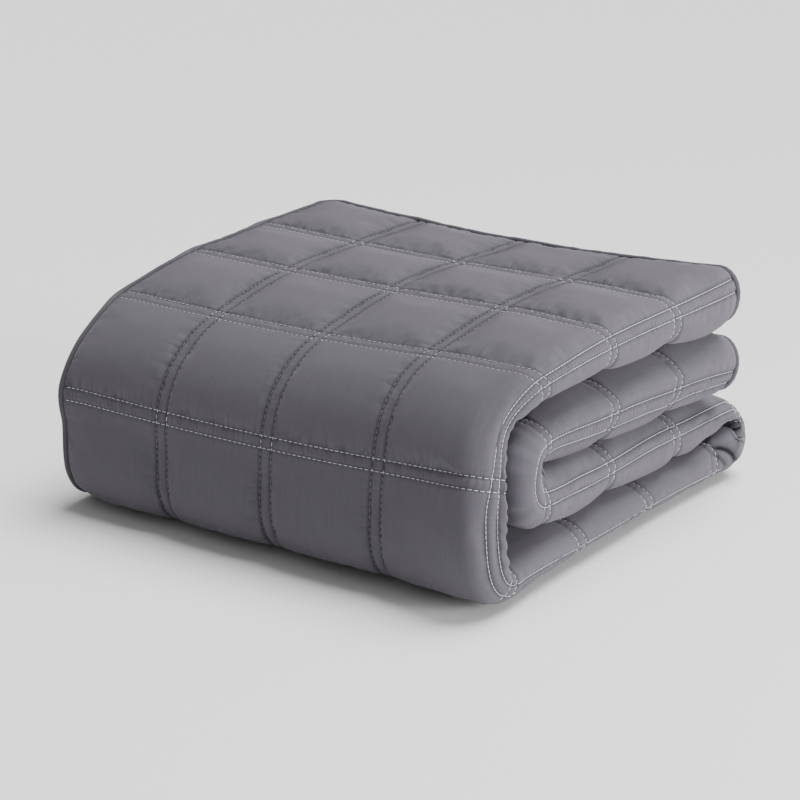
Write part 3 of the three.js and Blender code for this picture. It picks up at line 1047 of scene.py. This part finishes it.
def stitch_shape(name, length):
    """One stitch of thread, lying along Z: a thin barrel with drawn-in ends."""
    sides = STITCH_SIDES
    points, faces = [], []
    for height, width in STITCH_RINGS:
        radius = STITCH_RADIUS * width * MM
        for side in range(sides):
            angle = 2 * math.pi * side / sides
            points.append((radius * math.cos(angle), radius * math.sin(angle), height * length * MM))
    for low in range(0, len(points) - sides, sides):
        high = low + sides
        for side in range(sides):
            beside = (side + 1) % sides
            faces.append((low + side, low + beside, high + beside, high + side))
    faces.append(tuple(range(sides - 1, -1, -1)))
    faces.append(tuple(range(len(points) - sides, len(points))))
    mesh = bpy.data.meshes.new(name)
    mesh.from_pydata(points, [], faces)
    mesh.shade_smooth()
    return bpy.data.objects.new(name, mesh)


def stitch_tree(shape, thread):
    """Geometry Nodes tree that sets stitches along wire rows, and the identifier of its pitch."""
    tree = bpy.data.node_groups.new("stitches_on_rows", "GeometryNodeTree")
    interface = tree.interface
    interface.new_socket("Rows", in_out="INPUT", socket_type="NodeSocketGeometry")
    pitch = interface.new_socket("Stitch Pitch", in_out="INPUT", socket_type="NodeSocketFloat")
    interface.new_socket("Stitches", in_out="OUTPUT", socket_type="NodeSocketGeometry")
    entry = add_node(tree, "NodeGroupInput")
    curve = add_node(tree, "GeometryNodeMeshToCurve", {"Mesh": entry.outputs["Rows"]})
    spots = {"Curve": curve.outputs["Curve"], "Length": entry.outputs["Stitch Pitch"]}
    spots = add_node(tree, "GeometryNodeCurveToPoints", spots, mode="LENGTH")
    stitch = add_node(tree, "GeometryNodeObjectInfo", {"Object": shape})
    instances = add_node(tree, "GeometryNodeInstanceOnPoints", {
        "Points": spots.outputs["Points"],
        "Rotation": spots.outputs["Rotation"],
        "Instance": stitch.outputs["Geometry"],
    })
    whole = add_node(tree, "GeometryNodeRealizeInstances", {"Geometry": instances.outputs["Instances"]})
    finish = {"Geometry": whole.outputs["Geometry"], "Material": thread}
    finish = add_node(tree, "GeometryNodeSetMaterial", finish)
    add_node(tree, "NodeGroupOutput", {"Stitches": finish.outputs["Geometry"]})
    return tree, pitch.identifier


def sewn(name, rows, tree, pitch_socket, pitch):
    """Stitches along rows, as one plain mesh."""
    wire = row_object(name, rows)
    modifier = wire.modifiers.new("stitches", "NODES")
    modifier.node_group = tree
    modifier[pitch_socket] = pitch * MM
    graph = bpy.context.evaluated_depsgraph_get()
    mesh = bpy.data.meshes.new_from_object(wire.evaluated_get(graph))
    wire.modifiers.remove(modifier)
    wire.data = mesh
    return wire


# Finishes

SHELL_COLOUR = (0.104, 0.096, 0.114)
BINDING_COLOUR = (0.09, 0.083, 0.099)
# Painted shade: a dark copy of the pale thread, for rows that lie in the grooves' shade
SHADED_THREAD_COLOUR = (0.22, 0.215, 0.23)
THREAD_COLOUR = (0.78, 0.78, 0.8)

# Shares of a finish's colour: its darkest and lightest, its painted shade in the stitched rows and its
# painted shadow in the fan creases
CLOTH_TINTS = (0.87, 1.13)
THREAD_TINTS = (0.85, 1.1)
PAINTED_SHADE_TINT = 0.25
PAINTED_SHADOW_TINT = 0.04
SEAM_SHADE = 0.8
# Painted shade in the gather grooves, as dark hairlines
GATHER_SHADE = 0.34

# Inputs of the shaders, noises, waves and bumps; bump distances in metres
CLOTH_LOOK = {"Roughness": 0.95, "Specular IOR Level": 0.12, "Sheen Weight": 0.12, "Sheen Roughness": 0.5}
THREAD_LOOK = {"Roughness": 0.5}
MOTTLE = {"Scale": 60.0, "Detail": 6.0}
STREAK = {"Scale": 0.5, "Detail": 2.0}
GATHER = {"Scale": 0.5, "Detail": 1.0}
NAP = {"Scale": 900.0, "Detail": 3.0}
THREAD_GRAIN = {"Scale": 700.0}
RIBS = {"Scale": 62.0, "Distortion": 2.5, "Detail Scale": 1.5}
NAP_BUMP = {"Strength": 0.25, "Distance": 0.0006}
RIB_BUMP = {"Strength": 0.6, "Distance": 0.0005}
GATHER_BUMP = {"Strength": 0.7, "Distance": 0.0016}

# Lengths in metres of the streaks and gathers in the cloth, and how steep a gather's sides are
STREAK_WIDTH = 0.0012
STREAK_LENGTH = 0.03
STREAK_SHARE = 0.6
GATHER_PITCH = 0.0095
GATHER_LENGTH = 0.05
GATHER_STEEP = 12.0
HAIRLINE_STEEP = 40.0


def new_finish(name, look):
    """A new material, its node tree and its shader with the given inputs."""
    material = bpy.data.materials.new(name)
    material.use_nodes = True
    tree = material.node_tree
    shader = tree.nodes["Principled BSDF"]
    for socket, value in look.items():
        shader.inputs[socket].default_value = value
    return material, tree, shader


def tinted(colour, share):
    """A colour made darker or lighter, with its alpha."""
    return (*[part * share for part in colour], 1)


def math_value(tree, operation, *values, clamp=False):
    """Output of a new Math node, from plain values and other outputs."""
    node = add_node(tree, "ShaderNodeMath", dict(enumerate(values)), operation=operation, use_clamp=clamp)
    return node.outputs["Value"]


def noise_value(tree, where, look):
    """Output of a new Noise Texture node."""
    return add_node(tree, "ShaderNodeTexNoise", {"Vector": where, **look}).outputs["Fac"]


def attribute(tree, name):
    """Values of one of the cloth's attributes."""
    return add_node(tree, "ShaderNodeAttribute", attribute_name=name).outputs["Fac"]


def stretched(tree, where, across, along):
    """Places on the cloth, counted in the given lengths across and along."""
    scale = (1 / across, 1 / along, 1)
    return add_node(tree, "ShaderNodeMapping", {"Vector": where, "Scale": scale}).outputs["Vector"]


def mixed(tree, factor, first, second, kind="RGBA"):
    """Output of a new Mix node, for colours or for plain values."""
    inputs = {"Factor": factor, "A": first, "B": second}
    return add_node(tree, "ShaderNodeMix", inputs, data_type=kind).outputs["Result"]


def bumped(tree, look, height, below=None, invert=False):
    """Normal of a new Bump node, on top of the normal of another one."""
    inputs = {"Height": height, **look}
    if below:
        inputs["Normal"] = below
    return add_node(tree, "ShaderNodeBump", inputs, invert=invert).outputs["Normal"]


def cloth_finish(name, colour):
    """Brushed microfibre: mottled and streaked, with painted shade in its seams, gather grooves and fan
    creases, and ribs and gathers in the bump.
    """
    material, tree, shader = new_finish(name, CLOTH_LOOK)
    where = add_node(tree, "ShaderNodeTexCoord").outputs["UV"]
    mottle = noise_value(tree, where, MOTTLE)
    streak = noise_value(tree, stretched(tree, where, STREAK_WIDTH, STREAK_LENGTH), STREAK)
    grain = mixed(tree, STREAK_SHARE, mottle, streak, "FLOAT")
    tint = mixed(tree, grain, *[tinted(colour, share) for share in CLOTH_TINTS])
    gathers, painted_hairline_shade = row_gathers(tree, where)
    # Painted shade: the colour is darkened at the stitched rows and in the gather grooves
    seam = math_value(tree, "MULTIPLY", attribute(tree, "seam"), SEAM_SHADE)
    fine = math_value(tree, "MULTIPLY", painted_hairline_shade, GATHER_SHADE)
    darker = math_value(tree, "MAXIMUM", seam, fine)
    shaded = mixed(tree, darker, tint, tinted(colour, PAINTED_SHADE_TINT))
    # Painted shadow: near-black lines at the bottom of the fan creases
    shadowed = mixed(tree, painted_crease_shadows(tree, where), shaded, tinted(colour, PAINTED_SHADOW_TINT))
    tree.links.new(shadowed, shader.inputs["Base Color"])
    nap = bumped(tree, NAP_BUMP, noise_value(tree, where, NAP))
    ribs = bumped(tree, RIB_BUMP, channel_ribs(tree, where), nap)
    tree.links.new(bumped(tree, GATHER_BUMP, gathers, ribs, True), shader.inputs["Normal"])
    return material


def row_gathers(tree, where):
    """Depth of the short creases that run out from the stitched rows into the boxes, and painted shade as
    dark hairlines in their grooves.
    """
    depths, lines = [], []
    for mask, across, along in (
        ("gather_along", GATHER_LENGTH, GATHER_PITCH),
        ("gather_across", GATHER_PITCH, GATHER_LENGTH),
    ):
        grain = noise_value(tree, stretched(tree, where, across, along), GATHER)
        folded = math_value(tree, "ABSOLUTE", math_value(tree, "SUBTRACT", grain, 0.5))
        share = attribute(tree, mask)
        for steepness, group in ((GATHER_STEEP, depths), (HAIRLINE_STEEP, lines)):
            steep = math_value(tree, "MULTIPLY", folded, steepness)
            level = math_value(tree, "MINIMUM", steep, 1)
            groove = math_value(tree, "MULTIPLY_ADD", level, -1, 1)
            group.append(math_value(tree, "MULTIPLY", groove, share))
    return [math_value(tree, "ADD", *group) for group in (depths, lines)]


def painted_crease_shadows(tree, where):
    """Painted shadow: dark lines at the bottom of the fan creases, darkest in the middle of each line."""
    darkest = 0
    for row in FAN_CREASES:
        start, run = np.array(row["first"]), np.subtract(row["last"], row["first"])
        along = add_node(tree, "ShaderNodeMapping", {
            "Vector": where,
            "Location": (*(start * BOX * MM), 0),
            "Rotation": (0, 0, math.atan2(run[1], run[0])),
            "Scale": (np.linalg.norm(run) * BOX * MM, FAN_LINE_WIDTH * MM, 1),
        }, vector_type="TEXTURE")
        spot = add_node(tree, "ShaderNodeSeparateXYZ", {"Vector": along.outputs["Vector"]})
        beside = math_value(tree, "SUBTRACT", math_value(tree, "ABSOLUTE", spot.outputs["Y"]), 1)
        across = math_value(tree, "MULTIPLY", beside, -FAN_LINE_SHADE * row["share"], clamp=True)
        left = math_value(tree, "SUBTRACT", spot.outputs["X"], 1)
        within = math_value(tree, "MULTIPLY", spot.outputs["X"], left)
        share = math_value(tree, "MULTIPLY", within, -FAN_LINE_FADE, clamp=True)
        darkest = math_value(tree, "MAXIMUM", darkest, math_value(tree, "MULTIPLY", across, share))
    return darkest


def channel_ribs(tree, where):
    """Height of the fine ribs between the two stitched rows of each channel."""
    heights = []
    for mask, direction in (("rib_along", "Y"), ("rib_across", "X")):
        look = {"Vector": where, **RIBS}
        wave = add_node(tree, "ShaderNodeTexWave", look, wave_type="BANDS", bands_direction=direction)
        heights.append(math_value(tree, "MULTIPLY", wave.outputs["Fac"], attribute(tree, mask)))
    return math_value(tree, "ADD", *heights)


def thread_finish(name, colour):
    """Polyester thread, a little uneven in its colour."""
    material, tree, shader = new_finish(name, THREAD_LOOK)
    where = add_node(tree, "ShaderNodeTexCoord").outputs["Object"]
    grain = noise_value(tree, where, THREAD_GRAIN)
    tint = mixed(tree, grain, *[tinted(colour, share) for share in THREAD_TINTS])
    tree.links.new(tint, shader.inputs["Base Color"])
    return material


# Stage: floor, lights and camera

def view_direction():
    """Unit vector from the target back to the camera."""
    azimuth, elevation = math.radians(VIEW_AZIMUTH), math.radians(VIEW_ELEVATION)
    level = math.cos(elevation)
    return np.array([math.sin(azimuth) * level, -math.cos(azimuth) * level, math.sin(elevation)])


def aim(obj, spot, target):
    """Place an object and turn its -Z towards a target."""
    obj.location = spot
    obj.rotation_euler = (Vector(target) - Vector(spot)).to_track_quat("-Z", "Y").to_euler()


def photo_camera():
    """Camera at the photograph's viewing angle."""
    lens = bpy.data.cameras.new("photo_camera")
    lens.sensor_width = VIEW_SENSOR
    lens.lens = VIEW_LENS
    camera = linked("photo_camera", lens)
    target = (VIEW_TARGET - FOLD_MIDDLE) * MM
    aim(camera, target + view_direction() * VIEW_DISTANCE * MM, target)
    bpy.context.scene.camera = camera


# Lights and floor, in metres, degrees and watts
SUN_SPOT = (0.3, 0.9, 2.4)
SUN_STRENGTH = 4.9
SUN_ANGLE = 42.0
SIDE_SPOT = (2.4, 0.25, 0.5)
SIDE_SIZE = 0.8
SIDE_WATTS = 68.0
FLOOR_SIZE = 80.0
LIGHT_TARGET = (0, 0, 0.1)
FLOOR_LOOK = {"Base Color": (0.9, 0.9, 0.9, 1), "Roughness": 0.9}
WORLD_LOOK = {"Color": (1, 1, 1, 1), "Strength": 0.32}


def studio():
    """Pale floor and soft lights."""
    bpy.ops.mesh.primitive_plane_add(size=FLOOR_SIZE, location=(0, 0, 0))
    floor = bpy.context.object
    floor.name = "pale_floor"
    floor.data.materials.append(new_finish("pale_floor", FLOOR_LOOK)[0])
    sun = bpy.data.lights.new("soft_overhead", "SUN")
    sun.energy = SUN_STRENGTH
    sun.angle = math.radians(SUN_ANGLE)
    box = bpy.data.lights.new("side_softbox", "AREA")
    box.energy = SIDE_WATTS
    box.size = SIDE_SIZE
    for lamp, spot in ((sun, SUN_SPOT), (box, SIDE_SPOT)):
        aim(linked(lamp.name, lamp), spot, LIGHT_TARGET)
    world = bpy.data.worlds.new("studio")
    world.use_nodes = True
    for socket, value in WORLD_LOOK.items():
        world.node_tree.nodes["Background"].inputs[socket].default_value = value
    bpy.context.scene.world = world


photo_camera()
studio()

shell = cloth_finish("shell_microfibre", SHELL_COLOUR)
trim = cloth_finish("binding_microfibre", BINDING_COLOUR)
thread = thread_finish("pale_thread", THREAD_COLOUR)
# Painted shade: the pale thread's dark copy, for the rows along the blanket in the grooves
sunken_thread = thread_finish("sunken_thread", SHADED_THREAD_COLOUR)

body = quilted_body()
body.data.materials.append(shell)
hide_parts("quilted_body")
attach(body, "root")

binding = edge_binding()
binding.data.materials.append(trim)
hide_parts("edge_binding")
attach(binding, "root")

plain_stitch = stitch_shape("plain_stitch", STITCH_LENGTH)
crest_stitch = stitch_shape("crest_stitch", CREST_STITCH_LENGTH)
for name, rows, shape, pitch, finish in (
    ("stitches_along", rows_along(), plain_stitch, STITCH_PITCH, sunken_thread),
    ("stitches_over", rows_over_channels(), plain_stitch, STITCH_PITCH, thread),
    ("stitches_crest", rows_on_crest(), crest_stitch, CREST_STITCH_PITCH, thread),
    ("stitches_across", rows_across(), plain_stitch, STITCH_PITCH, thread),
):
    tree, pitch_socket = stitch_tree(shape, finish)
    stitches = sewn(name, rows, tree, pitch_socket, pitch)
    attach(stitches, "root")
